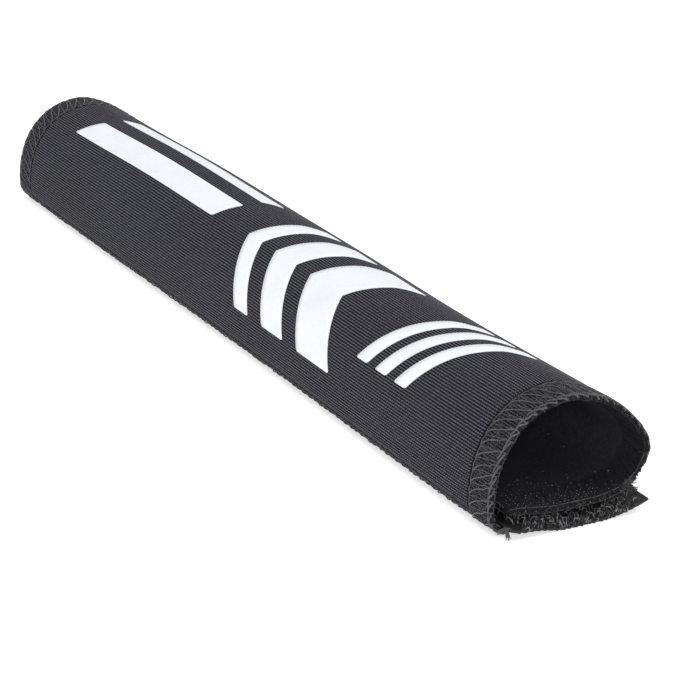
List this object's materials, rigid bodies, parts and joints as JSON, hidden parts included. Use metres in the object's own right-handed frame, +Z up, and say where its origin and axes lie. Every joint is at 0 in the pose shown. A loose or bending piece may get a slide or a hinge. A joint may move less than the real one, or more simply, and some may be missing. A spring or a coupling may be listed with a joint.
{
  "type": "chainstay protector",
  "caption": "Neoprene chainstay protector, rolled into an open tube, with overlocked edges, a hook tape and a loop tape at the lap, and a printed outer face.",
  "frame": {"origin": "on the surface that it lies on, under the middle of the whole roll", "axes": "+X along the roll towards its far end, +Y across it towards the fold beside the hook tape, +Z up"},
  "size_m": [0.2136, 0.032, 0.0231],
  "materials": {
    "neoprene": "matt black ribbed jersey on foam",
    "thread": "black textured polyester overlock thread",
    "hook_tape": "black woven nylon with glossy hooks",
    "loop_tape": "black brushed loop pile",
    "ink": "satin white screen print"
  },
  "bodies": {
    "root": {"neoprene_sheet": "neoprene", "hook_tape": "hook_tape", "loop_tape": "loop_tape", "overlock_near_end": "thread", "overlock_far_end": "thread", "overlock_hook_edge": "thread", "overlock_flap_edge": "thread", "print_bar_1": "ink", "print_bar_2": "ink", "print_bar_3": "ink", "print_bar_4": "ink", "print_bar_5": "ink", "print_chevron_1": "ink", "print_chevron_2": "ink", "print_chevron_3": "ink"}
  },
  "joints": []
}
